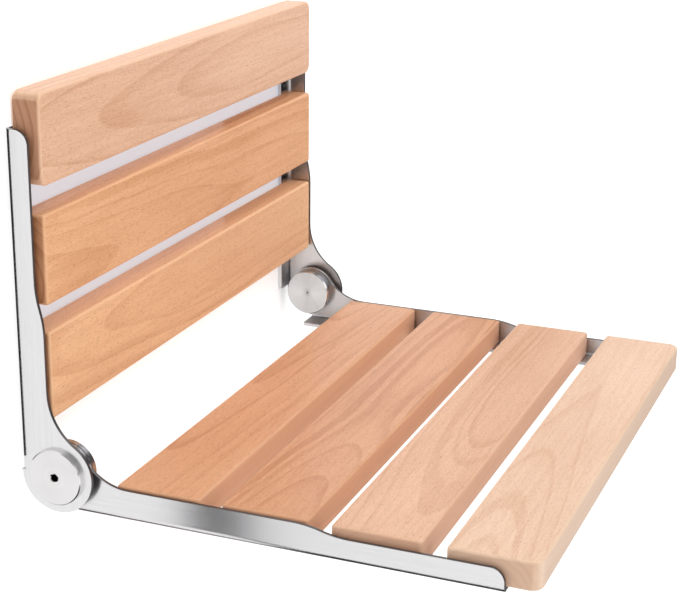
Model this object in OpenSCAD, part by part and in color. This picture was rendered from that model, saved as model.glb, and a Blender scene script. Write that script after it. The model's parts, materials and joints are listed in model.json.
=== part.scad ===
// Wall-hung folding seat with a fixed slatted back rest.
// The wall is the plane y = 0 and the seat folds up about a hinge at each side.
// Origin: centre of the four wall holes, on the wall plane. +Z is up, -Y faces the room.

/* [Show] */
// Piece to draw

/* [Brackets] */
// Width over the two back brackets
back_width = 421; // [380:1:520]
// Width over the two seat brackets
seat_width = 408; // [368:1:510]
// Sheet thickness of all four brackets
sheet = 2.5; // [2:0.1:4]
// Outside width of each back bracket's flange
flange_width = 20; // [18:0.5:40]
// Outside width of each seat bracket's flange
seat_flange_width = 22; // [18:0.5:40]
// Outside radius of the bend between web and flange
bend_radius = 4; // [3:0.5:8]
// Web depth beside the hinge
web_wide = 20.3; // [16:0.1:24]
// Web depth at the far end
web_narrow = 15.3; // [10:0.1:18]
// Length over which the web narrows
taper_length = 37; // [20:1:60]
// Radius of the free corner of each web
web_corner = 9; // [3:0.5:13]
// Radius of the flange corners
flange_corner = 2; // [0.5:0.5:5]

/* [Back] */
// Height of the back brackets above the hinge axis
back_height = 220; // [180:1:300]
// Height of the narrowing above the hinge axis
back_taper_at = 108.5; // [80:0.5:160]
// Height of the flange end above the hinge axis
back_flange_start = 1; // [0.5:0.5:20]
// Distance of the hinge axis from the wall
pivot_out = 25.3; // [22:0.1:34]
// Radius of the back bracket round its hinge
back_lobe = 24.6; // [20:0.1:30]
// Radius of the flare above the hinge
back_flare = 41; // [20:1:60]
// Length of the back slats
back_slat_length = 411; // [370:1:510]
// Height of the lowest back slat's centre above the hinge axis
back_first = 64.5; // [50:0.5:90]
// Centre distance of the back slats
back_pitch = 74.4; // [60:0.1:90]

/* [Seat] */
// Reach of the seat brackets in front of the hinge axis
seat_reach = 290.5; // [240:0.5:360]
// Distance of the narrowing from the hinge axis
seat_taper_at = 176; // [120:1:220]
// Distance of the flange end from the hinge axis
seat_flange_start = 0.5; // [0.5:0.5:20]
// Depth of the seat bracket's underside below the hinge axis
seat_drop = 25.5; // [20:0.5:30]
// Radius of the seat bracket round its hinge
seat_lobe = 19.2; // [17:0.1:22]
// Radius of the hollow in front of the hinge
seat_flare = 37; // [20:1:60]
// Length of the seat slats
seat_slat_length = 400; // [360:1:500]
// Distance of the rear seat slat's centre from the hinge axis
seat_first = 64.9; // [50:0.1:90]
// Centre distance of the seat slats
seat_pitch = 72.5; // [60:0.5:90]

/* [Slats] */
// Width of every slat
slat_width = 57.5; // [40:0.5:70]
// Thickness of every slat
slat_thick = 19; // [14:0.5:24]
// Rounding along the slat edges
slat_round = 2.2; // [1:0.1:5]
// Rounding of the slat ends
end_round = 2; // [1:0.1:5]
// Corner radius of the plain slats
slat_corner = 2.5; // [1:0.5:12]
// Corner radius of the top back slat
top_corner = 7; // [2:0.5:20]
// Corner radius at the front of the foremost seat slat
front_corner = 8; // [2:0.5:20]

/* [Hinge] */
// Radius of the outer disc and of the inner boss
disc_radius = 18.5; // [14:0.1:19]
// Thickness of the outer disc
disc_thick = 3.5; // [2:0.1:6]
// Length of the inner boss
boss_length = 8.7; // [6:0.1:14]
// Distance of the boss groove from its face
groove_at = 4.6; // [2:0.1:8]
// Width of the boss groove
groove_width = 0.8; // [0.4:0.1:2]
// Radius of the hinge pin
pin_radius = 5; // [4:0.1:6]
// Radial running clearance of the hinge pin
pin_play = 0.05; // [0.02:0.01:0.1]
// Outside radius of the hinge bush
bush_radius = 7; // [6:0.1:8]
// Width across flats of the hexagon socket
hex_flats = 5; // [3:0.5:8]
// Depth of the hexagon socket
hex_depth = 4; // [2:0.5:8]
// Radius of the washer between the webs
washer_radius = 16; // [12:0.5:18]
// Folding travel in degrees
fold_travel = 90; // [60:1:95]
// Distance of the stop pin from the hinge axis
stop_at = 12.2; // [11:0.1:13]
// Radius of the stop pin
stop_radius = 2.5; // [1.5:0.1:3]
// Gap kept between faces that turn past each other
side_gap = 0.3; // [0.2:0.05:0.6]

/* [Fixings] */
// Radius of the wall holes
wall_hole = 3.25; // [2.5:0.05:5]
// Distance of the wall holes from the middle plane
wall_hole_x = 199; // [170:0.5:240]
// Distance of the seat slat screws from the middle plane
seat_screw_x = 192.5; // [170:0.5:240]
// Spacing of the two screws in each slat end
screw_spacing = 30; // [20:1:44]
// Spacing of the screws where the last slat runs past its bracket
end_spacing = 15; // [10:1:22]
// Shank radius of the slat screws
screw_radius = 1.9; // [1.5:0.1:2.5]
// Head radius of the slat screws
screw_head = 3.7; // [3:0.1:4.5]
// Length of the slat screws
screw_length = 15; // [10:0.5:18]

/* [Hidden] */
$fn = 72;
tiny = 0.01;
inside_bend = bend_radius - sheet;
mid_slat = back_first + back_pitch;
pivot_z = -mid_slat;
back_outer = back_width / 2;
back_inner = back_outer - sheet;
seat_outer = seat_width / 2;
seat_inner = seat_outer - sheet;
boss_back = seat_inner - side_gap;
boss_face = boss_back - boss_length;
washer_in = seat_outer + side_gap;
disc_face = back_outer + disc_thick;
pin_end = boss_face + 2.2;
seat_wide_z = web_wide - seat_drop;
taper_step = web_wide - web_narrow;
taper_radius = (taper_length * taper_length + taper_step * taper_step) / (4 * taper_step);
merge = 0.02;
back_flare_y = web_wide + back_flare + merge;
back_flare_z = sqrt(pow(back_flare + back_lobe - merge, 2) - pow(back_flare_y - pivot_out, 2));
seat_flare_z = seat_wide_z + seat_flare + merge;
seat_flare_e = sqrt(pow(seat_flare + seat_lobe - merge, 2) - pow(seat_flare_z, 2));
hex_radius = hex_flats / 2 / cos(30);
pilot = screw_radius + 0.1;
head_drop = 0.1;
sides = [-1, 1];
rests = [0, 1, 2];
seats = [0, 1, 2, 3];
steel = [0.78, 0.78, 0.79];
dark = [0.13, 0.13, 0.14];
beech = [0.86, 0.66, 0.47];

// ---- helpers ----

// Rectangle with all four corners rounded, centred on the origin.
module round_rect(w, h, r) {
    square([w - 2 * r, h], center = true);
    square([w, h - 2 * r], center = true);
    for (x = sides) {
        for (y = sides) {
            translate([x * (w / 2 - r), y * (h / 2 - r)]) circle(r);
        }
    }
}

// Rectangle from the origin with only the corner at the origin rounded.
module corner_rect(w, h, r) {
    translate([r, r]) circle(r);
    translate([r, 0]) square([w - r, h]);
    translate([0, r]) square([w, h - r]);
}

// What a rounded corner leaves over: the corner is at the origin, the sheet lies towards +X and +Y.
module corner_cut(r) {
    difference() {
        translate([-1, -1]) square(r + 1);
        translate([r, r]) circle(r);
    }
}

// Angle section in plan: web along Y, flange along X, bend at the origin.
module angle_section(flange, depth) {
    difference() {
        corner_rect(flange, depth, bend_radius);
        translate([sheet, sheet]) corner_rect(flange, depth, inside_bend);
    }
}

// Puts a piece modelled at the right-hand side on either side.
module at_side(s) {
    if (s > 0) {
        children();
    } else {
        mirror([1, 0, 0]) children();
    }
}

// Moves from hinge coordinates to the frame.
module at_pivot() {
    translate([0, -pivot_out, pivot_z]) children();
}

// Extrudes an outline drawn as (distance forward, height) across a band of X.
module across(x0, x1) {
    translate([x0, 0, 0]) rotate([90, 0, 90]) linear_extrude(height = x1 - x0) mirror([1, 0]) children();
}

// Solid of revolution about the hinge axis between two X positions.
module round_x(x0, x1, r0, r1) {
    translate([x0, 0, 0]) rotate([0, 90, 0]) cylinder(h = x1 - x0, r1 = r0, r2 = r1);
}

// S-shaped step from the wide to the narrow web, starting at (web_wide, 0).
module taper_block() {
    half = taper_length / 2;
    intersection() {
        translate([web_narrow - 6, -tiny]) square([taper_step + 6, half + tiny]);
        translate([web_wide - taper_radius, 0]) circle(taper_radius, $fn = 180);
    }
    difference() {
        translate([web_narrow - 6, half]) square([taper_step / 2 + 6, half]);
        translate([web_narrow + taper_radius, taper_length]) circle(taper_radius, $fn = 180);
    }
}

// Bracket strip along +Y: wide at the start, narrow at the end, free corner rounded.
module strip(start, taper_at, length) {
    taper_from = taper_at - taper_length / 2;
    translate([0, start]) square([web_wide, taper_from - start]);
    translate([0, taper_from]) taper_block();
    translate([0, taper_from - 1]) square([web_narrow, length - web_corner - taper_from + 1]);
    translate([0, length - web_corner - 1]) square([web_narrow - web_corner, web_corner + 1]);
    translate([web_narrow - web_corner, length - web_corner]) circle(web_corner);
}

// Web outline of a back bracket: x is the distance from the wall, y the height above the hinge axis.
module back_outline() {
    reach = back_lobe / (back_lobe + back_flare);
    strip(back_flare_z - 0.5, back_taper_at, back_height);
    translate([pivot_out, 0]) circle(back_lobe, $fn = 120);
    difference() {
        polygon([
            [pivot_out, 0],
            [pivot_out + (back_flare_y - pivot_out) * reach, back_flare_z * reach],
            [back_flare_y, back_flare_z],
            [0, back_flare_z],
            [0, 0]
        ]);
        translate([back_flare_y, back_flare_z]) circle(back_flare, $fn = 120);
    }
}

// Web outline of a seat bracket: x is the distance in front of the hinge axis, y the height.
module seat_outline() {
    reach = seat_lobe / (seat_lobe + seat_flare);
    mirror([1, -1]) union() {
        translate([-seat_drop, 0]) strip(seat_flare_e - 0.5, seat_taper_at, seat_reach);
        circle(seat_lobe, $fn = 120);
        difference() {
            polygon([
                [0, 0],
                [seat_flare_z * reach, seat_flare_e * reach],
                [seat_flare_z, seat_flare_e],
                [-seat_drop, seat_flare_e],
                [-seat_drop, seat_flange_start],
                [0, seat_flange_start]
            ]);
            translate([seat_flare_z, seat_flare_e]) circle(seat_flare, $fn = 120);
        }
    }
}

// Curved slot about the hinge axis that lets the stop pin pass over the travel.
module stop_slot() {
    wide = stop_radius + side_gap;
    rotate(90 - fold_travel / 2) {
        difference() {
            intersection() {
                circle(stop_at + wide);
                polygon([[0, 0], [30, 0], [30, 30], [30 * cos(fold_travel), 30 * sin(fold_travel)]]);
            }
            circle(stop_at - wide);
        }
        for (a = [0, fold_travel]) {
            rotate(a) translate([stop_at, 0]) circle(wide);
        }
    }
}

// Angle of the stop pin above the forward direction.
stop_angle = 90 + fold_travel / 2;

// Position of the stop pin in hinge coordinates.
module at_stop() {
    translate([0, -stop_at * cos(stop_angle), stop_at * sin(stop_angle)]) children();
}

// Clearance hole and countersink for one slat screw, entering along +Z at z = 0.
module screw_seat() {
    translate([0, 0, -1]) cylinder(h = sheet + 2, r = screw_radius + 0.3, $fn = 24);
    translate([0, 0, -tiny]) cylinder(h = 2.1, r1 = screw_head + 0.25, r2 = screw_radius + 0.25, $fn = 24);
}

// One countersunk slat screw, driven along +Z from just inside z = 0.
module slat_screw() {
    difference() {
        union() {
            translate([0, 0, head_drop]) cylinder(h = 2, r1 = screw_head, r2 = screw_radius, $fn = 24);
            translate([0, 0, 1.2]) cylinder(h = screw_length - 3.2, r = screw_radius, $fn = 24);
            translate([0, 0, screw_length - 2]) cylinder(h = 2, r1 = screw_radius, r2 = 0.4, $fn = 24);
        }
        for (a = [0, 90]) {
            rotate(a) translate([-1.9, -0.35, 0]) cube([3.8, 0.7, 1.5]);
        }
    }
}

// Offsets of the two screws from the middle of a slat, towards its far edge.
function screw_rows(last) = last ? [-end_spacing, 0] : [-screw_spacing / 2, screw_spacing / 2];

// Places children at each slat screw of one back bracket, pointing into the slats.
module at_back_screws() {
    for (i = rests) {
        for (row = screw_rows(i == 2)) {
            z = pivot_z + back_first + i * back_pitch + row;
            translate([wall_hole_x, 0, z]) rotate([90, 0, 0]) children();
        }
    }
}

// Places children at each slat screw of one seat bracket, pointing up into the slats.
module at_seat_screws() {
    for (i = seats) {
        for (row = screw_rows(i == 3)) {
            e = seat_first + i * seat_pitch + row;
            translate([seat_screw_x, -pivot_out - e, pivot_z - seat_drop]) children();
        }
    }
}

// Slat blank lying flat: length along X, width along Y, underside at z = 0.
module slat_blank(length, corner) {
    intersection() {
        rotate([90, 0, 90])
            translate([0, slat_thick / 2, -length / 2])
                linear_extrude(height = length) round_rect(slat_width, slat_thick, slat_round);
        linear_extrude(height = slat_thick) round_rect(length, slat_width, corner);
        translate([0, slat_width / 2, slat_thick / 2])
            rotate([90, 0, 0]) linear_extrude(height = slat_width) round_rect(length, slat_thick, end_round);
    }
}

// Slat with its two ends bored for screws from below; last is true for a slat that runs past its bracket.
module bored_slat(length, corner, hole_x, way, last) {
    difference() {
        slat_blank(length, corner);
        for (x = sides) {
            for (row = screw_rows(last)) {
                translate([x * hole_x, way * row, -1])
                    cylinder(h = screw_length - sheet + 1.6, r = pilot, $fn = 24);
            }
        }
    }
}

// ---- fixed frame ----

module back_bracket(s) {
    at_side(s)
    difference() {
        intersection() {
            translate([0, 0, pivot_z]) across(back_outer - flange_width - 1, back_outer + 1) back_outline();
            union() {
                translate([back_outer, 0, pivot_z + back_flange_start])
                    rotate(180)
                        linear_extrude(height = back_height) angle_section(flange_width, web_wide + 60);
                translate([back_inner, -60, pivot_z - 40]) cube([sheet, 60, 40 + back_flange_start]);
                translate([back_inner, -60, pivot_z]) cube([sheet, 60 - bend_radius, back_flange_start + 1]);
            }
        }
        at_pivot() round_x(back_inner - 1, back_outer + 1, pin_radius + 0.2, pin_radius + 0.2);
        at_pivot() at_stop() round_x(back_inner - 1, back_outer + 1, stop_radius, stop_radius);
        for (z = sides) {
            translate([wall_hole_x, 1, z * back_pitch / 2]) {
                rotate([90, 0, 0]) cylinder(h = sheet + 2, r = wall_hole);
            }
            translate([wall_hole_x, tiny - sheet + 0.9, z * back_pitch / 2]) {
                rotate([90, 0, 0]) cylinder(h = 0.9 + tiny, r1 = wall_hole, r2 = wall_hole + 1.3);
            }
        }
        at_back_screws() screw_seat();
        translate([back_outer - flange_width, 1, pivot_z + back_flange_start])
            rotate([90, 0, 0]) linear_extrude(height = sheet + 2) corner_cut(flange_corner);
        translate([back_outer - flange_width, 1, pivot_z + back_height])
            rotate([90, 0, 0]) linear_extrude(height = sheet + 2) mirror([0, 1]) corner_cut(flange_corner);
    }
}

module back_slat(i, corner) {
    translate([0, -sheet, pivot_z + back_first + i * back_pitch])
        rotate([90, 0, 0]) bored_slat(back_slat_length, corner, wall_hole_x, 1, i == 2);
}

// Outer disc with hexagon socket, in one piece with the hinge pin.
module pivot_bolt(s) {
    rim = 0.7;
    at_side(s) at_pivot()
    difference() {
        union() {
            round_x(back_outer, disc_face - rim, disc_radius, disc_radius);
            round_x(disc_face - rim, disc_face, disc_radius, disc_radius - rim);
            round_x(pin_end, back_outer + 1, pin_radius, pin_radius);
        }
        translate([disc_face - hex_depth, 0, 0])
            rotate([0, 90, 0]) rotate(12) cylinder(h = hex_depth + 1, r = hex_radius, $fn = 6);
        round_x(disc_face - 0.4, disc_face + tiny, hex_radius - 0.2, hex_radius + 0.3);
    }
}

// Turned boss on the inner end of the hinge pin.
module hinge_boss(s) {
    rim = 0.8;
    at_side(s) at_pivot()
    difference() {
        union() {
            round_x(boss_face, boss_face + rim, disc_radius - rim, disc_radius);
            round_x(boss_face + rim, boss_face + groove_at, disc_radius, disc_radius);
            round_x(
                boss_face + groove_at - 1, boss_face + groove_at + groove_width + 1,
                disc_radius - 0.7, disc_radius - 0.7
            );
            round_x(boss_face + groove_at + groove_width, boss_back, disc_radius, disc_radius);
        }
        round_x(pin_end - 0.6, boss_back + 1, pin_radius, pin_radius);
        round_x(boss_face - tiny, boss_face + 0.6, 0.9, 0.2);
        at_stop() round_x(boss_back - 4, boss_back + 1, stop_radius, stop_radius);
    }
}

module spacer_washer(s) {
    at_side(s) at_pivot()
    difference() {
        round_x(washer_in, back_inner, washer_radius, washer_radius);
        round_x(washer_in - 1, back_inner + 1, pin_radius + 0.2, pin_radius + 0.2);
        at_stop() round_x(washer_in - 1, back_inner + 1, stop_radius + 0.1, stop_radius + 0.1);
    }
}

module stop_pin(s) {
    at_side(s) at_pivot() at_stop() round_x(boss_back - 3.9, back_outer - 0.1, stop_radius, stop_radius);
}

module back_slat_screws(s) {
    at_side(s) at_back_screws() slat_screw();
}

// ---- folding seat ----

module seat_bracket(s) {
    at_side(s)
    difference() {
        intersection() {
            at_pivot() across(seat_outer - seat_flange_width - 1, seat_outer + 1) seat_outline();
            union() {
                translate([seat_outer, -pivot_out - seat_flange_start, pivot_z - seat_drop])
                    rotate([90, 0, 0]) mirror([1, 0, 0])
                        linear_extrude(height = seat_reach) angle_section(seat_flange_width, 80);
                translate([seat_inner, -pivot_out - seat_flange_start, pivot_z - 40])
                    cube([sheet, 40, 80]);
                translate([seat_inner, -pivot_out - seat_flange_start - 1, pivot_z + bend_radius - seat_drop])
                    cube([sheet, 2, 60]);
            }
        }
        at_pivot() round_x(seat_inner - 1, seat_outer + 1, bush_radius, bush_radius);
        at_pivot() across(seat_inner - 1, seat_outer + 1) stop_slot();
        at_seat_screws() screw_seat();
        translate([seat_outer - seat_flange_width, -pivot_out - seat_flange_start, pivot_z - seat_drop - 1])
            linear_extrude(height = sheet + 2) mirror([0, 1]) corner_cut(flange_corner);
        translate([seat_outer - seat_flange_width, -pivot_out - seat_reach, pivot_z - seat_drop - 1])
            linear_extrude(height = sheet + 2) corner_cut(flange_corner);
    }
}

module seat_slat(i, front_radius) {
    along = -pivot_out - seat_first - i * seat_pitch;
    translate([0, along, pivot_z - seat_drop + sheet])
    intersection() {
        bored_slat(seat_slat_length, slat_corner, seat_screw_x, -1, i == 3);
        translate([0, 0, -1])
            linear_extrude(height = slat_thick + 2) union() {
                round_rect(seat_slat_length, slat_width, front_radius);
                translate([-seat_slat_length / 2, 0]) square([seat_slat_length, slat_width / 2]);
            }
    }
}

module pivot_bush(s) {
    at_side(s) at_pivot()
    difference() {
        round_x(seat_inner, seat_outer, bush_radius, bush_radius);
        round_x(seat_inner - 1, seat_outer + 1, pin_radius + pin_play, pin_radius + pin_play);
    }
}

module seat_slat_screws(s) {
    at_side(s) at_seat_screws() slat_screw();
}

// ---- one module per piece ----

module back_bracket_left() { color(steel) back_bracket(-1); }
module back_bracket_right() { color(steel) back_bracket(1); }
module seat_bracket_left() { color(steel) seat_bracket(-1); }
module seat_bracket_right() { color(steel) seat_bracket(1); }
module back_slat_bottom() { color(beech) back_slat(0, slat_corner); }
module back_slat_middle() { color(beech) back_slat(1, slat_corner); }
module back_slat_top() { color(beech) back_slat(2, top_corner); }
module seat_slat_1_rear() { color(beech) seat_slat(0, slat_corner); }
module seat_slat_2() { color(beech) seat_slat(1, slat_corner); }
module seat_slat_3() { color(beech) seat_slat(2, slat_corner); }
module seat_slat_4_front() { color(beech) seat_slat(3, front_corner); }
module pivot_bolt_left() { color(steel) pivot_bolt(-1); }
module pivot_bolt_right() { color(steel) pivot_bolt(1); }
module hinge_boss_left() { color(steel) hinge_boss(-1); }
module hinge_boss_right() { color(steel) hinge_boss(1); }
module spacer_washer_left() { color(dark) spacer_washer(-1); }
module spacer_washer_right() { color(dark) spacer_washer(1); }
module pivot_bush_left() { color(dark) pivot_bush(-1); }
module pivot_bush_right() { color(dark) pivot_bush(1); }
module stop_pin_left() { color(steel) stop_pin(-1); }
module stop_pin_right() { color(steel) stop_pin(1); }
module back_slat_screws_left() { color(steel) back_slat_screws(-1); }
module back_slat_screws_right() { color(steel) back_slat_screws(1); }
module seat_slat_screws_left() { color(steel) seat_slat_screws(-1); }
module seat_slat_screws_right() { color(steel) seat_slat_screws(1); }

back_bracket_left();
back_bracket_right();
seat_bracket_left();
seat_bracket_right();
back_slat_bottom();
back_slat_middle();
back_slat_top();
seat_slat_1_rear();
seat_slat_2();
seat_slat_3();
seat_slat_4_front();
pivot_bolt_left();
pivot_bolt_right();
hinge_boss_left();
hinge_boss_right();
spacer_washer_left();
spacer_washer_right();
pivot_bush_left();
pivot_bush_right();
stop_pin_left();
stop_pin_right();
back_slat_screws_left();
back_slat_screws_right();
seat_slat_screws_left();
seat_slat_screws_right();
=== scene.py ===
import json
import math

import bmesh
import bpy
from mathutils import Matrix, Vector


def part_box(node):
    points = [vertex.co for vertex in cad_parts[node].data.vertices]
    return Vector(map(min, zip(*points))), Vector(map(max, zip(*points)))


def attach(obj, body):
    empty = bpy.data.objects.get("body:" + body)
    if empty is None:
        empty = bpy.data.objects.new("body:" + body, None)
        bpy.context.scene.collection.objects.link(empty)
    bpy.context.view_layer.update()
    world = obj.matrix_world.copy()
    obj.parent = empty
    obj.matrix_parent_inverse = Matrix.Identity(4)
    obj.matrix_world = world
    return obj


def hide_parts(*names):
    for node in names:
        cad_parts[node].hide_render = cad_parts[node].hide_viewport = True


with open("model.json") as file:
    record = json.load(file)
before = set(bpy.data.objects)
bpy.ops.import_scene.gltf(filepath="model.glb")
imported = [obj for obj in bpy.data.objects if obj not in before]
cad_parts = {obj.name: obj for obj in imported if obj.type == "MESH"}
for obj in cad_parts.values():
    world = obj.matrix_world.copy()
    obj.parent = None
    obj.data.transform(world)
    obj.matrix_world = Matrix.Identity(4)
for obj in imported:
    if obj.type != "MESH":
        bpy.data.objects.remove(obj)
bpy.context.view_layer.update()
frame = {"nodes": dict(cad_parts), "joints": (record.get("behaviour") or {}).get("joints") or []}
nodes = frame["nodes"]
PIVOT = Vector(frame["joints"][0]["pos_m"])
MM = 0.001
PER_METRE = 1000.0
X, Y, Z = 0, 1, 2


# ---------------------------------------------------------------- node helpers

class Graph:
    """A short way to write a material's node tree."""

    # the colour sockets of the Mix node, which has a set of sockets for each type of data
    MIX_FACTOR, MIX_A, MIX_B, MIX_RESULT = 0, 6, 7, 2

    def __init__(self, name):
        self.material = bpy.data.materials.new(name)
        self.material.use_nodes = True
        self.tree = self.material.node_tree
        self.tree.nodes.clear()
        self.out = self.new("OutputMaterial")
        self.shader = self.new("BsdfPrincipled")
        self.link(self.shader.outputs[0], self.out.inputs["Surface"])

    def new(self, kind):
        return self.tree.nodes.new("ShaderNode" + kind)

    def link(self, source, socket):
        self.tree.links.new(source, socket)

    def put(self, socket, value):
        """Links a socket or sets a constant."""
        if isinstance(value, bpy.types.NodeSocket):
            self.link(value, socket)
        elif value is not None:
            socket.default_value = value

    def coords(self, which="Object"):
        return self.new("TexCoord").outputs[which]

    def millimetres(self, origin=None):
        """The point on the piece in millimetres, from an origin given in metres."""
        point = self.coords()
        if origin is not None:
            point = self.vector("SUBTRACT", point, tuple(origin))
        return self.vector("SCALE", point, scale=PER_METRE)

    def math(self, operation, a, b=None, clamp=False):
        node = self.new("Math")
        node.operation = operation
        node.use_clamp = clamp
        for socket, value in zip(node.inputs, (a, b)):
            self.put(socket, value)
        return node.outputs[0]

    def add(self, a, b, clamp=False):
        return self.math("ADD", a, b, clamp)

    def sub(self, a, b):
        return self.math("SUBTRACT", a, b)

    def mul(self, a, b):
        return self.math("MULTIPLY", a, b)

    def linear(self, fac, factor, offset):
        """fac * factor + offset"""
        return self.add(self.mul(fac, factor), offset)

    def centred(self, fac, amount):
        """A noise that adds and takes away equally, by half the amount at most."""
        return self.mul(self.sub(fac, 0.5), amount)

    def length(self, a, b):
        return self.math("SQRT", self.add(self.mul(a, a), self.mul(b, b)))

    def vector(self, operation, a, b=None, scale=None):
        node = self.new("VectorMath")
        node.operation = operation
        self.put(node.inputs[0], a)
        self.put(node.inputs[1], b)
        if scale is not None:
            self.put(node.inputs["Scale"], scale)
        return node.outputs["Vector"]

    def stretch(self, v, factors):
        return self.vector("MULTIPLY", v, factors)

    def split(self, v):
        node = self.new("SeparateXYZ")
        self.put(node.inputs[0], v)
        return node.outputs

    def join(self, x, y, z):
        node = self.new("CombineXYZ")
        for socket, value in zip(node.inputs, (x, y, z)):
            self.put(socket, value)
        return node.outputs[0]

    def tinted(self, shade, red, green, blue):
        """A grey shade turned to a colour: a factor of 1 leaves the shade as it is."""
        return self.join(*(shade if factor == 1.0 else self.mul(shade, factor)
                           for factor in (red, green, blue)))

    def facing(self, axis):
        """How far the surface looks along one axis, either way."""
        return self.math("ABSOLUTE", self.split(self.coords("Normal"))[axis])

    def noise(self, v, scale=1.0, detail=2.0, roughness=0.5):
        node = self.new("TexNoise")
        self.put(node.inputs["Vector"], v)
        node.inputs["Scale"].default_value = scale
        node.inputs["Detail"].default_value = detail
        node.inputs["Roughness"].default_value = roughness
        return node.outputs["Fac"]

    def ramp(self, fac, low, high, to_low=0.0, to_high=1.0, smooth=False):
        node = self.new("MapRange")
        node.interpolation_type = "SMOOTHSTEP" if smooth else "LINEAR"
        for key, value in (("Value", fac), ("From Min", low), ("From Max", high),
                           ("To Min", to_low), ("To Max", to_high)):
            self.put(node.inputs[key], value)
        return node.outputs["Result"]

    def mix(self, fac, a, b):
        node = self.new("Mix")
        node.data_type = "RGBA"
        self.put(node.inputs[self.MIX_FACTOR], fac)
        self.put(node.inputs[self.MIX_A], a)
        self.put(node.inputs[self.MIX_B], b)
        return node.outputs[self.MIX_RESULT]

    def bump(self, height, strength, distance):
        node = self.new("Bump")
        node.inputs["Strength"].default_value = strength
        node.inputs["Distance"].default_value = distance
        self.put(node.inputs["Height"], height)
        self.put(self.shader.inputs["Normal"], node.outputs[0])

    def tangent(self, v):
        """Object-space direction of the brushing, turned with the piece."""
        node = self.new("VectorTransform")
        node.vector_type = "VECTOR"
        node.convert_from = "OBJECT"
        node.convert_to = "WORLD"
        self.put(node.inputs[0], v)
        self.put(self.shader.inputs["Tangent"], node.outputs[0])

    def glow(self, color):
        self.shader.inputs["Emission Color"].default_value = (*color, 1.0)
        self.shader.inputs["Emission Strength"].default_value = 1.0

    def set(self, **values):
        names = {"color": "Base Color", "metallic": "Metallic", "roughness": "Roughness",
                 "anisotropic": "Anisotropic", "coat": "Coat Weight",
                 "coat_roughness": "Coat Roughness", "specular": "Specular IOR Level"}
        for key, value in values.items():
            self.put(self.shader.inputs[names[key]], value)


def rgb(r, g, b):
    """Linear colour from an 8-bit display colour."""
    def one(c):
        c /= 255.0
        return c / 12.92 if c <= 0.04045 else ((c + 0.055) / 1.055) ** 2.4
    return (one(r), one(g), one(b), 1.0)


def times(color, factors):
    """A colour with its red, green and blue each changed by a factor."""
    return (*(part * factor for part, factor in zip(color, factors)), 1.0)


# ---------------------------------------------------------------- wood

# features of the grain: repeats per millimetre along, across and through the slat, then the
# detail and the roughness of the noise
FIGURE = {
    "wander": ((0.0035, 0.008, 0.008), 1.0, 0.5),
    "wobble": ((0.016, 0.05, 0.05), 3.0, 0.5),
    "fibre": ((0.035, 1.3, 1.3), 4.0, 0.65),
    "streak": ((0.008, 0.22, 0.22), 4.0, 0.6),
    "cloud": ((0.007, 0.022, 0.022), 3.0, 0.5),
    "fleck": ((0.34, 1.7, 1.7), 1.5, 0.5),
    "shine": ((0.26, 1.3, 1.3), 2.0, 0.6),
    "pores": ((0.2, 2.0, 2.0), 3.0, 0.7),
}
SEED_STEPS = (137.0, 59.0, 23.0)        # mm between the woods of two neighbouring seeds
PITH_DRIFT, PITH_RIPPLE = 16.0, 5.0     # mm
UNEVEN_RINGS = 3.0                      # rings
UNEVEN_PITCH, SEASON_PITCH, SEASON_LAYER = 0.11, 0.06, 7.0

# how far each feature takes the tone from the light colour, 0, to the dark one, 1
TONE_LATE, TONE_CLOUD, TONE_RING, TONE_FIBRE, TONE_SHINE = 0.50, 0.26, 0.10, 1.05, 0.95
TONE_STREAK = (-0.06, 0.32)
FLECK_STRENGTH = 0.46

# factors on the slat's dark colour (fleck, dark end grain) and on its light one (the others)
FLECK = (0.50, 0.40, 0.34)
END_DARK = (0.50, 0.38, 0.31)
END_LIGHT = (0.68, 0.55, 0.47)
END_PALE = (1.02, 1.02, 1.04)
# factors that lighten: the sides of the flat slats as painted light, the rounded edges as sanded
# wood with a painted highlight
SIDE_PAINTED_LIGHT = (1.05, 1.15, 1.30)
WORN_AND_HIGHLIGHT_PALE = (1.08, 1.12, 1.12)
SEAT_FADE = 0.62                        # how much of the pale end grain and of the painted light on the sides the seat slats take


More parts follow.
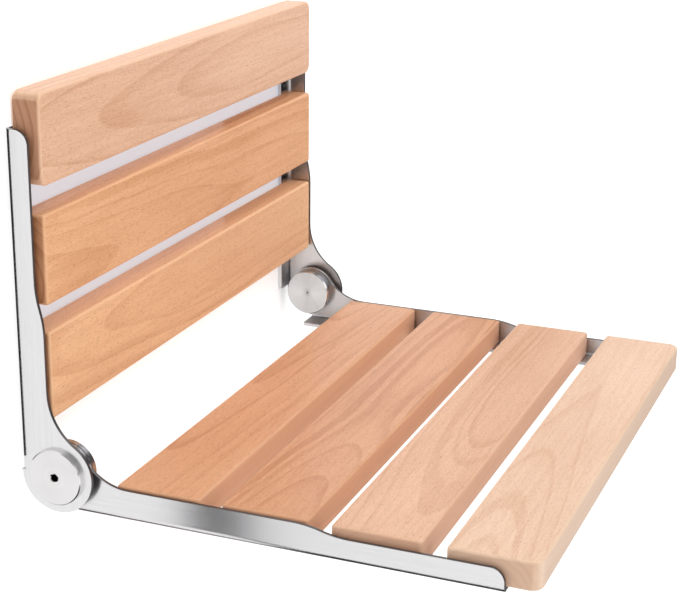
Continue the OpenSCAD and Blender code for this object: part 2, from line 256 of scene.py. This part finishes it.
def beech(name, middle, upright, light, dark, pith, slope, bow, spacing, seed):
    """Solid beech: thin growth-ring lines round a pith line, fibre streaks, ray flecks, end grain
    that is darker on the upright slats and paler on the flat ones, painted light on the sides of
    the flat slats, and sanded edges with a painted highlight."""
    g = Graph(name)
    along, y, z = g.split(g.millimetres(middle))
    forward = g.mul(y, -1.0)
    across, through = (z, forward) if upright else (forward, z)
    grain = g.vector("ADD", g.join(along, across, through), tuple(seed * s for s in SEED_STEPS))
    figure = {key: g.noise(g.stretch(grain, pitch), detail=detail, roughness=roughness)
              for key, (pitch, detail, roughness) in FIGURE.items()}
    fibre, streak = figure["fibre"], figure["streak"]

    # the pith wanders slowly, which draws the pointed arches on the face
    depth = g.add(g.linear(along, slope, pith[1]), g.mul(g.mul(along, along), bow))
    radial_v = g.add(g.sub(across, pith[0]), g.centred(figure["wobble"], PITH_RIPPLE))
    radial_w = g.sub(g.add(through, g.centred(figure["wander"], PITH_DRIFT)), depth)
    radius = g.length(radial_v, radial_w)
    uneven = g.noise(g.join(g.mul(radius, UNEVEN_PITCH), seed, 0.0))
    turns = g.add(g.math("DIVIDE", radius, spacing), g.mul(uneven, UNEVEN_RINGS))

    # each ring darkens to a thin line of late wood, stronger in some years than in others
    ring = g.math("FRACT", turns)
    line = g.mul(g.ramp(ring, 0.62, 0.95, smooth=True), g.ramp(ring, 1.0, 0.955))
    season = g.noise(g.join(g.mul(radius, SEASON_PITCH), seed, SEASON_LAYER))
    late = g.mul(line, g.linear(g.ramp(season, 0.35, 0.65), 0.7, 0.3))

    tone = g.add(g.mul(late, TONE_LATE), g.ramp(streak, 0.3, 0.7, *TONE_STREAK))
    tone = g.add(tone, g.mul(g.ramp(figure["cloud"], 0.32, 0.68), TONE_CLOUD))
    tone = g.add(tone, g.mul(g.ramp(ring, 0.0, 0.95, smooth=True), TONE_RING))
    tone = g.add(tone, g.centred(fibre, TONE_FIBRE))
    tone = g.add(tone, g.centred(figure["shine"], TONE_SHINE), clamp=True)
    color = g.mix(tone, light, dark)
    fleck = g.ramp(figure["fleck"], 0.60, 0.70, smooth=True)
    color = g.mix(g.mul(fleck, FLECK_STRENGTH), color, times(dark, FLECK))

    # end grain: the rings as arcs, with open pores
    end = g.ramp(g.facing(X), 0.55, 0.9, smooth=True)
    end_tone = g.add(g.mul(g.ramp(ring, 0.45, 0.95, smooth=True), 0.45),
                     g.mul(figure["pores"], 0.6), clamp=True)
    end_color = g.mix(end_tone, times(light, END_LIGHT), times(dark, END_DARK))
    if not upright:
        end_color = g.mix(SEAT_FADE, end_color, times(light, END_PALE))
    color = g.mix(end, color, end_color)

    # painted light: the sides of the flat slats are made paler and greyer than their faces, for
    # the light they catch
    if not upright:
        side = g.mul(g.ramp(g.facing(Y), 0.55, 0.9), SEAT_FADE)
        color = g.mix(side, color, times(light, SIDE_PAINTED_LIGHT))

    # the rounded edges, where no axis is faced squarely, are paler than the faces: partly sanded
    # wood, partly a painted highlight
    most = g.math("MAXIMUM", g.facing(X), g.math("MAXIMUM", g.facing(Y), g.facing(Z)))
    worn_and_highlight = g.mul(g.ramp(most, 0.985, 0.90, smooth=True), g.ramp(streak, 0.2, 0.8, 0.3, 0.6))
    color = g.mix(worn_and_highlight, color, times(light, WORN_AND_HIGHLIGHT_PALE))

    roughness = g.add(g.linear(fibre, 0.22, 0.32), g.mul(end, 0.16))
    g.bump(g.sub(g.mul(fibre, 0.6), g.mul(fleck, 0.5)), 0.25, 0.25 * MM)
    g.set(color=color, roughness=roughness, specular=0.38, coat=0.10, coat_roughness=0.25)
    return g.material


# ---------------------------------------------------------------- metal and plastic

# repeats per millimetre of the brushed lines and of the broad bands, along and across the brushing
BRUSH_LINES = (0.05, 3.2)
BRUSH_BANDS = (0.008, 0.6)
BAND_LAYER = 3.0
SMEARS = (0.02, 0.02, 0.02)
# where the free edge begins past the bend, in mm from the hinge axis, by the axis of the depth
FREE_EDGE = {Y: (21.0, 19.5), Z: (-22.0, -21.0)}
LOBE_RIM = (20.2, 21.2)                 # mm: the round rim of the hinge lobe is kept out of the painted dark of the free edges
CUT_GREY_AND_SHADE = 0.10


def lined(pitch, axis):
    """Noise factors that draw lines along one axis."""
    factors = [pitch[1]] * 3
    factors[axis] = pitch[0]
    return tuple(factors)


def brushed_steel(name, along, tint_and_shade, seed, dull):
    """Stainless sheet with fine straight brushing along one axis, and free edges painted dark,
    partly dull from the cutting and partly as painted shade.
    """
    g = Graph(name)
    p = g.millimetres()
    lines = g.noise(g.vector("ADD", g.stretch(p, lined(BRUSH_LINES, along)), (seed, seed, seed)),
                    detail=4.0, roughness=0.75)
    bands = g.noise(g.vector("ADD", g.stretch(p, lined(BRUSH_BANDS, along)),
                             (seed, BAND_LAYER, seed)))
    smears = g.noise(g.stretch(p, SMEARS), detail=3.0)
    # the tint holds painted shade: copies of the same steel get darker tints where they lie in
    # shade
    shade = g.add(g.add(g.centred(lines, 0.20), g.centred(bands, 0.08)), tint_and_shade)
    color = g.tinted(shade, 0.998, 0.99, 1.0)

    # the free edge of the web: faces that look along the depth of the section, away from the bend,
    # painted dark, partly dull from the cutting and partly as painted shade
    across = Y if along == Z else Z
    rel = g.split(g.millimetres(PIVOT))
    free = g.mul(g.ramp(g.facing(X), 0.45, 0.25), g.ramp(rel[across], *FREE_EDGE[across]))
    cut_and_shade = g.mul(free, g.ramp(g.length(rel[Y], rel[Z]), *LOBE_RIM))
    color = g.mix(cut_and_shade, color, g.tinted(g.linear(lines, 0.10, CUT_GREY_AND_SHADE), 1.0, 0.92, 0.9))

    roughness = g.add(g.mul(lines, 0.12), g.mul(smears, 0.08))
    roughness = g.add(g.add(roughness, 0.14 + dull), g.mul(cut_and_shade, 0.2))
    brush = tuple(1.0 if axis == along else 0.0 for axis in (X, Y, Z))
    g.bump(lines, 0.25, 0.03 * MM)
    g.tangent(g.vector("CROSS_PRODUCT", g.coords("Normal"), brush))
    g.set(color=color, metallic=1.0, roughness=roughness, anisotropic=0.7)
    return g.material


# repeats per millimetre of radius and of depth, of the turned rings and of the wide ones
TURNED_RINGS = (3.4, 3.0)
TURNED_WIDE = (0.5, 0.3)
WIDE_LAYER, RAY_LAYER, RAY_COUNT = 4.0, 8.0, 2.6
PATCHES = (0.08, 0.08, 0.08)
EYE = (4.5, 0.6)                        # mm: radii where the dark eye begins and is full
# mm: edge of the socket's painted shade by radius, by depth below the disc, and past its floor
SOCKET_RADIUS, SOCKET_TOP, SOCKET_FLOOR = (3.3, 3.1), (0.25, 0.7), (6.0, 5.0)
SOCKET_PAINTED_SHADE = (0.012, 0.012, 0.013, 1.0)
OUTER_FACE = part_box("pivot_bolt_right")[1].x * PER_METRE


def turned_steel(name, tint_and_shade, painted_fan, eye):
    """Stainless turned on a lathe: fine rings round the hinge axis, a darker eye, sectors of
    painted highlight and shade, and painted shade in the socket. fan is the strength of the
    lighter and darker sectors of painted highlight and shade, eye that of the dark middle."""
    g = Graph(name)
    rel = g.millimetres(PIVOT)
    x, y, z = g.split(rel)
    radius = g.length(y, z)
    rings = g.noise(g.join(g.mul(radius, TURNED_RINGS[0]), g.mul(x, TURNED_RINGS[1]), 0.0),
                    detail=3.0, roughness=0.7)
    wide = g.noise(g.join(g.mul(radius, TURNED_WIDE[0]), g.mul(x, TURNED_WIDE[1]), WIDE_LAYER))
    patches = g.noise(g.stretch(rel, PATCHES), detail=3.0)
    shade = g.add(g.centred(rings, 0.18), g.centred(wide, 0.10))
    shade = g.add(g.add(shade, g.centred(patches, 0.05)), tint_and_shade)
    shade = g.mul(shade, g.sub(1.0, g.ramp(radius, *EYE, 0.0, eye)))

    # sectors of painted highlight and shade that spread from the centre like the two wings of a
    # fan, darker up and down, as the turned face reflects its light
    level = g.math("MAXIMUM", radius, 0.2)
    sy, sz = g.math("DIVIDE", y, level), g.math("DIVIDE", z, level)
    rays = g.noise(g.join(g.mul(sy, RAY_COUNT), g.mul(sz, RAY_COUNT), RAY_LAYER),
                   detail=4.0, roughness=0.6)
    painted_wings = g.add(g.mul(sz, sz), g.centred(rays, 1.2))
    shade = g.mul(shade, g.sub(1.0, g.mul(painted_wings, painted_fan)))
    color = g.tinted(shade, 1.0, 0.985, 0.985)

    # painted shade in the hexagon socket of the outer face, for the dark of the recess
    out = g.math("ABSOLUTE", x)
    deep = g.ramp(out, *(OUTER_FACE - depth for depth in SOCKET_TOP))
    outside = g.ramp(out, *(OUTER_FACE - depth for depth in SOCKET_FLOOR))
    socket = g.mul(g.ramp(radius, *SOCKET_RADIUS), g.mul(deep, outside))
    color = g.mix(socket, color, SOCKET_PAINTED_SHADE)
    g.bump(rings, 0.3, 0.03 * MM)
    g.tangent(g.join(0.0, y, z))
    g.set(color=color, metallic=1.0, roughness=g.linear(rings, 0.12, 0.18), anisotropic=0.75)
    return g.material


def plain_steel(name):
    """Screws and stop pins: dull steel with a fine grain."""
    g = Graph(name)
    grain = g.noise(g.millimetres(), scale=1.6, detail=4.0, roughness=0.6)
    g.bump(grain, 0.2, 0.04 * MM)
    g.set(color=g.tinted(g.linear(grain, 0.18, 0.46), 1.0, 1.0, 1.01), metallic=1.0,
          roughness=g.linear(grain, 0.2, 0.22))
    return g.material


def nylon(name):
    """Bushes and washers: black moulded plastic with a faint grain."""
    g = Graph(name)
    grain = g.noise(g.millimetres(), scale=2.4, detail=3.0, roughness=0.6)
    g.bump(grain, 0.25, 0.08 * MM)
    g.set(color=g.tinted(g.linear(grain, 0.03, 0.025), 1.0, 1.0, 1.08),
          roughness=g.linear(grain, 0.2, 0.45))
    return g.material


# ---------------------------------------------------------------- slats

CORNER_STEPS, EDGE_STEPS = 8, 5
LEAST_RADIUS = 0.05 * MM
SUPPORT = 0.6 * MM                      # width of the flat band next to a rounded edge


def quarter(steps):
    """Angles from 0 to 90 degrees."""
    return [math.radians(90.0 * k / steps) for k in range(steps + 1)]


def outline(half_x, half_y, radii, inset):
    """Points of a rectangle with rounded corners, drawn in by inset. radii go round from +x +y."""
    points = []
    corners = ((1, 1), (-1, 1), (-1, -1), (1, -1))
    for turn, ((sx, sy), radius) in enumerate(zip(corners, radii)):
        r = max(radius - inset, LEAST_RADIUS)
        cx = sx * (half_x - inset - r)
        cy = sy * (half_y - inset - r)
        for k in range(CORNER_STEPS + 1):
            a = math.radians(90.0 * turn + 90.0 * k / CORNER_STEPS)
            points.append((cx + r * math.cos(a), cy + r * math.sin(a)))
    return points


def slat_mesh(name, size, radii, round_front, round_rear):
    """A slat in its own frame: length X, width Y, show face at +Z. Edges are rounded over."""
    length, width, thick = size
    bm = bmesh.new()
    rings = []

    def ring(inset, height):
        rings.append([bm.verts.new((px, py, height))
                      for px, py in outline(length / 2, width / 2, radii, inset)])

    ring(round_rear + SUPPORT, -thick / 2)
    for a in quarter(EDGE_STEPS):
        ring(round_rear * (1 - math.sin(a)), -thick / 2 + round_rear * (1 - math.cos(a)))
    for a in quarter(EDGE_STEPS):
        ring(round_front * (1 - math.cos(a)), thick / 2 - round_front * (1 - math.sin(a)))
    ring(round_front + SUPPORT, thick / 2)
    for low, high in zip(rings, rings[1:]):
        for i in range(len(low)):
            j = (i + 1) % len(low)
            bm.faces.new((low[i], low[j], high[j], high[i]))
    bm.faces.new(list(reversed(rings[0])))
    bm.faces.new(rings[-1])
    for face in bm.faces:
        face.smooth = True
    bmesh.ops.recalc_face_normals(bm, faces=bm.faces)
    mesh = bpy.data.meshes.new(name)
    bm.to_mesh(mesh)
    bm.free()
    return mesh


def add_object(name, mesh):
    piece = bpy.data.objects.new(name, mesh)
    bpy.context.scene.collection.objects.link(piece)
    return piece


SHOW_FACE_FORWARD = Matrix(((1, 0, 0), (0, 0, -1), (0, 1, 0)))
SHOW_FACE_UP = Matrix.Identity(3)


def add_slat(node, body, light, dark, pith, slope, bow, spacing, seed, radii, round_front):
    """A detailed slat in the place of the CAD one."""
    low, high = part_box(node)
    middle, size = (low + high) / 2, high - low
    upright = size.z > size.y
    if upright:
        turn, dims = SHOW_FACE_FORWARD, (size.x, size.z, size.y)
    else:
        turn, dims = SHOW_FACE_UP, (size.x, size.y, size.z)
    mesh = slat_mesh(node + "_wood", dims, radii, round_front, ROUND_REAR)
    mesh.transform(Matrix.Translation(middle) @ turn.to_4x4())
    piece = add_object(node + "_wood", mesh)
    mesh.materials.append(beech(node + "_beech", middle, upright, rgb(*light), rgb(*dark),
                                pith, slope, bow, spacing, seed))
    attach(piece, body)
    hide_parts(node)


ROUND_REAR, ROUND_BACK, ROUND_SEAT, ROUND_LIP = 1.6 * MM, 2.2 * MM, 2.0 * MM, 2.6 * MM
SMALL, TOP, LIP = 2.5 * MM, 7 * MM, 8 * MM
ALL_SMALL, ALL_TOP, FRONT_LIP = (SMALL,) * 4, (TOP,) * 4, (SMALL, SMALL, LIP, LIP)
WOODS = {
    # node: body, light and dark colour, place of the pith in mm (across, depth), its slope along
    # the slat, its bow per mm, ring spacing in mm, seed, corner radii, rounding of the show face
    "back_slat_top": ("wall_frame", (236, 193, 161), (213, 162, 128),
                      (4, -34), 0.035, -1.2e-4, 7.0, 1.0, ALL_TOP, ROUND_BACK),
    "back_slat_middle": ("wall_frame", (240, 186, 142), (214, 152, 106),
                         (-16, -30), -0.05, 0.6e-4, 6.5, 2.0, ALL_SMALL, ROUND_BACK),
    "back_slat_bottom": ("wall_frame", (246, 196, 152), (222, 166, 124),
                         (12, -36), 0.02, -0.8e-4, 7.5, 3.0, ALL_SMALL, ROUND_BACK),
    "seat_slat_1_rear": ("seat", (226, 172, 132), (198, 138, 98),
                         (-22, -30), 0.045, 0.5e-4, 6.0, 4.0, ALL_SMALL, ROUND_SEAT),
    "seat_slat_2": ("seat", (220, 166, 128), (194, 134, 96),
                    (10, -40), -0.03, 0.9e-4, 6.5, 5.0, ALL_SMALL, ROUND_SEAT),
    "seat_slat_3": ("seat", (227, 183, 152), (204, 153, 118),
                    (18, -32), 0.04, -0.9e-4, 7.0, 6.0, ALL_SMALL, ROUND_SEAT),
    "seat_slat_4_front": ("seat", (232, 198, 170), (212, 168, 136),
                          (-8, -36), -0.045, 1.1e-4, 8.0, 7.0, FRONT_LIP, ROUND_LIP),
}
for node, about in WOODS.items():
    add_slat(node, *about)


# ---------------------------------------------------------------- metal and plastic pieces

def paint(node, material):
    mesh = nodes[node].data
    mesh.materials.clear()
    mesh.materials.append(material)


EDGE_WIDTH, EDGE_SEGMENTS, EDGE_ANGLE = 0.35 * MM, 2, math.radians(35.0)
WELD_DISTANCE = 0.001 * MM


def soften(node):
    """Breaks the CAD edges as on the real piece, without changing the CAD mesh."""
    piece = nodes[node]
    weld = piece.modifiers.new("weld", "WELD")
    weld.merge_threshold = WELD_DISTANCE
    bevel = piece.modifiers.new("edges", "BEVEL")
    bevel.width = EDGE_WIDTH
    bevel.segments = EDGE_SEGMENTS
    bevel.limit_method = "ANGLE"
    bevel.angle_limit = EDGE_ANGLE
    bevel.harden_normals = True
    bevel.use_clamp_overlap = True


# tint of the back bracket, tint of the seat bracket, dullness; the tints hold painted shade,
# the same steel made darker on the right side and on the seat brackets
STEEL_TINTS_AND_SHADES = {"left": (0.75, 0.73, 0.0), "right": (0.69, 0.60, 0.10)}
BACK_SEED, SEAT_SEED = 1.0, 5.0
# the boss gets a darker tint than the disc as painted shade, and stronger painted sectors of
# highlight and shade
turned_disc = turned_steel("steel_turned_disc", 0.76, painted_fan=0.03, eye=0.0)
turned_boss = turned_steel("steel_turned_boss", 0.61, painted_fan=0.20, eye=0.32)
screw_steel = plain_steel("steel_screw")
black_nylon = nylon("nylon_black")
for side, (back_tint_and_shade, seat_tint_and_shade, dull) in STEEL_TINTS_AND_SHADES.items():
    paint("back_bracket_" + side,
          brushed_steel("steel_brushed_up_" + side, Z, back_tint_and_shade, BACK_SEED, dull))
    paint("seat_bracket_" + side,
          brushed_steel("steel_brushed_forward_" + side, Y, seat_tint_and_shade, SEAT_SEED, dull))
    for kind, material in (("pivot_bolt_", turned_disc), ("hinge_boss_", turned_boss),
                           ("stop_pin_", screw_steel), ("back_slat_screws_", screw_steel),
                           ("seat_slat_screws_", screw_steel), ("spacer_washer_", black_nylon),
                           ("pivot_bush_", black_nylon)):
        paint(kind + side, material)
    soften("back_bracket_" + side)
    soften("seat_bracket_" + side)


# ---------------------------------------------------------------- studio

FLOOR_Z = -0.62
FAR = 9
WALL_TOP = 6
WALL_Y, SHADE_SHEET_Y, HOLE_Y = 0.0012, 0.0009, 0.0005     # each sheet lies a little before the last
SPLIT_X = -0.2                          # where the wall's two sheets meet, behind the left bracket


def grey(level):
    return (level, level, level)


def facing_x(x, y, z):
    """Corners of an upright sheet square to the wall."""
    return [(x, y[0], z[0]), (x, y[1], z[0]), (x, y[1], z[1]), (x, y[0], z[1])]


def facing_y(x, y, z):
    """Corners of an upright sheet parallel to the wall."""
    return [(x[0], y, z[0]), (x[1], y, z[0]), (x[1], y, z[1]), (x[0], y, z[1])]


def facing_z(x, y, z):
    """Corners of a level sheet."""
    return [(x[0], y[0], z), (x[1], y[0], z), (x[1], y[1], z), (x[0], y[1], z)]


def add_sheet(name, corners):
    mesh = bpy.data.meshes.new(name)
    mesh.from_pydata(corners, [], [(0, 1, 2, 3)])
    return add_object(name, mesh)


def pale_stage(name, corners, white, glow):
    """A pale sheet of the set: plain, faintly mottled, lifted by a little light of its own, and
    clear from behind."""
    sheet = add_sheet(name, corners)
    pale = Graph(name)
    mottle = pale.noise(pale.coords(), scale=1.5)
    pale.set(color=(*white, 1.0), roughness=pale.ramp(mottle, 0.0, 1.0, 0.7, 0.8), specular=0.1)
    pale.glow(glow)
    both = pale.new("MixShader")
    pale.link(pale.new("NewGeometry").outputs["Backfacing"], both.inputs[0])
    pale.link(pale.shader.outputs[0], both.inputs[1])
    pale.link(pale.new("BsdfTransparent").outputs[0], both.inputs[2])
    pale.link(both.outputs[0], pale.out.inputs["Surface"])
    sheet.data.materials.append(pale.material)


pale_stage("studio_floor", facing_z((-FAR, FAR), (-FAR, FAR), FLOOR_Z), grey(0.30), grey(0.86))
# the wall: a plain white sheet, one that hardly takes a shadow left of the part, and a greyer,
# cool sheet of painted shade behind the back rest, seen through the gaps between the slats
pale_stage("studio_wall", facing_y((SPLIT_X, FAR), WALL_Y, (FLOOR_Z, WALL_TOP)),
           grey(0.86), grey(0.33))
pale_stage("studio_wall_left", facing_y((-FAR, SPLIT_X), WALL_Y, (FLOOR_Z, WALL_TOP)),
           grey(0.15), grey(0.92))
pale_stage("studio_wall_painted_shade", facing_y((-0.2, 0.2), SHADE_SHEET_Y, (PIVOT.z + 0.060, PIVOT.z + 0.215)),
           (0.64, 0.67, 0.71), (0.31, 0.34, 0.39))

# painted shadow: small dark sheets behind the holes of the back brackets, for the shade seen
# through them
HOLE_X, HOLE_Z, HOLE_HALF = 0.199, 0.0372, 0.0045
for sx in (-1, 1):
    for sz in (-1, 1):
        pale_stage(f"wall_hole_shadow_{sx}_{sz}",
                   facing_y((sx * HOLE_X - HOLE_HALF, sx * HOLE_X + HOLE_HALF), HOLE_Y,
                            (sz * HOLE_Z - HOLE_HALF, sz * HOLE_Z + HOLE_HALF)),
                   grey(0.03), grey(0.0))

WORLD_LIGHT = 0.34
scene = bpy.context.scene
world = bpy.data.worlds.new("studio")
world.use_nodes = True
background = world.node_tree.nodes["Background"]
background.inputs["Color"].default_value = (1.0, 1.0, 1.0, 1.0)
background.inputs["Strength"].default_value = WORLD_LIGHT
scene.world = world
scene.view_settings.view_transform = "Standard"
scene.view_settings.look = "None"
scene.view_settings.exposure = 0.0


def card(name, corners, glow=(0.0, 0.0, 0.0)):
    """A flag or a reflector that only the metal sees: black unless it glows."""
    piece = add_sheet(name, corners)
    dull = Graph(name)
    fuzz = dull.noise(dull.coords(), scale=40.0)
    dull.set(color=(0.015, 0.015, 0.018, 1.0), roughness=dull.ramp(fuzz, 0.0, 1.0, 0.85, 1.0),
             specular=0.0)
    dull.glow(glow)
    piece.data.materials.append(dull.material)
    piece.visible_camera = False
    piece.visible_diffuse = False
    piece.visible_shadow = False
    piece.visible_transmission = False


# flags that keep the flanges at the right dark, round a cool reflector for the turned rims
CARD_X, CARD_FAR, CARD_REAR, CARD_TOP = 0.75, -1.2, -0.002, 0.6
FLAG_BOTTOM, LOW, NEAR, MIDDLE = -0.6, -0.08, -0.12, -0.40
card("flag_right_low", facing_x(CARD_X, (CARD_FAR, CARD_REAR), (FLAG_BOTTOM, LOW)))
card("flag_right_near", facing_x(CARD_X, (NEAR, CARD_REAR), (LOW, CARD_TOP)))
card("flag_right_far", facing_x(CARD_X, (CARD_FAR, MIDDLE), (LOW, CARD_TOP)))
card("reflector_right", facing_x(CARD_X, (MIDDLE, NEAR), (LOW, CARD_TOP)),
     glow=(0.80, 0.82, 0.95))
FLAG_Y, GAP_Y, BEND_Y, FLAG_LIFT = -0.003, -0.0035, 0.0008, 0.003
card("flag_right_wall", facing_y((0.212, 0.34), FLAG_Y, (-0.17, -0.10)))
# flags that darken the webs between the back slats; the gaps are given above the hinge axis
GAPS, GAP_HEIGHT = (0.094, 0.1685), 0.0155
for index, gap in enumerate(GAPS):
    card(f"flag_gap_{index}",
         facing_y((0.08, 0.2055), GAP_Y, (PIVOT.z + gap, PIVOT.z + gap + GAP_HEIGHT)))
# the strip that draws the dark band on the left seat bracket
card("flag_strip", facing_y((-0.53, -0.415), FLAG_Y, (FLAG_BOTTOM, 0.5)))
# flags that keep the bends dark where they turn to the wall and to the space below the seat
card("flag_bend", facing_y((-0.2145, -0.2055), BEND_Y, (-0.13, 0.1)))
card("flag_under", facing_y((-0.2, 0.8), FLAG_Y, (FLAG_BOTTOM, -0.24)))
card("flag_lobe", facing_y((-0.205, -0.02), FLAG_Y, (-0.24, -0.165)))
card("flag_floor", facing_z((-0.6, 0.8), (-0.8, 0.5), FLOOR_Z + FLAG_LIFT))

CENTRE = Vector((0.0, -0.12, -0.05))


def softbox(name, at, size, power):
    """An area lamp that looks at the middle of the part."""
    data = bpy.data.lights.new(name, "AREA")
    data.shape = "RECTANGLE"
    data.size, data.size_y = size
    data.energy = power
    lamp = add_object(name, data)
    lamp.location = at
    lamp.rotation_euler = (CENTRE - Vector(at)).to_track_quat("-Z", "Y").to_euler()


softbox("key_top", (0.5, -1.3, 2.0), (2.6, 2.0), 34)
softbox("fill_right", (2.4, -1.6, 0.9), (1.8, 1.6), 8)
softbox("fill_front", (-0.9, -2.6, 0.9), (1.8, 1.4), 15)

# ---------------------------------------------------------------- camera

CAMERA_AT = (-1.0431, -0.5468, 0.3003)
AZIMUTH, ELEVATION, ROLL = math.radians(-68.27), math.radians(18.27), math.radians(0.52)
LENS_MM, SENSOR_MM = 89.18, 36.0
NEAREST = 0.05
right = Vector((math.cos(AZIMUTH), math.sin(AZIMUTH), 0.0))
back = Vector((math.sin(AZIMUTH) * math.cos(ELEVATION), -math.cos(AZIMUTH) * math.cos(ELEVATION),
               math.sin(ELEVATION)))
up = back.cross(right)
right_rolled = right * math.cos(ROLL) + up * math.sin(ROLL)
up_rolled = up * math.cos(ROLL) - right * math.sin(ROLL)
camera_data = bpy.data.cameras.new("camera")
camera_data.sensor_fit = "HORIZONTAL"
camera_data.sensor_width = SENSOR_MM
camera_data.lens = LENS_MM
camera_data.clip_start = NEAREST
camera = add_object("camera", camera_data)
turn = Matrix((right_rolled, up_rolled, back)).transposed().to_4x4()
camera.matrix_world = Matrix.Translation(CAMERA_AT) @ turn
scene.camera = camera
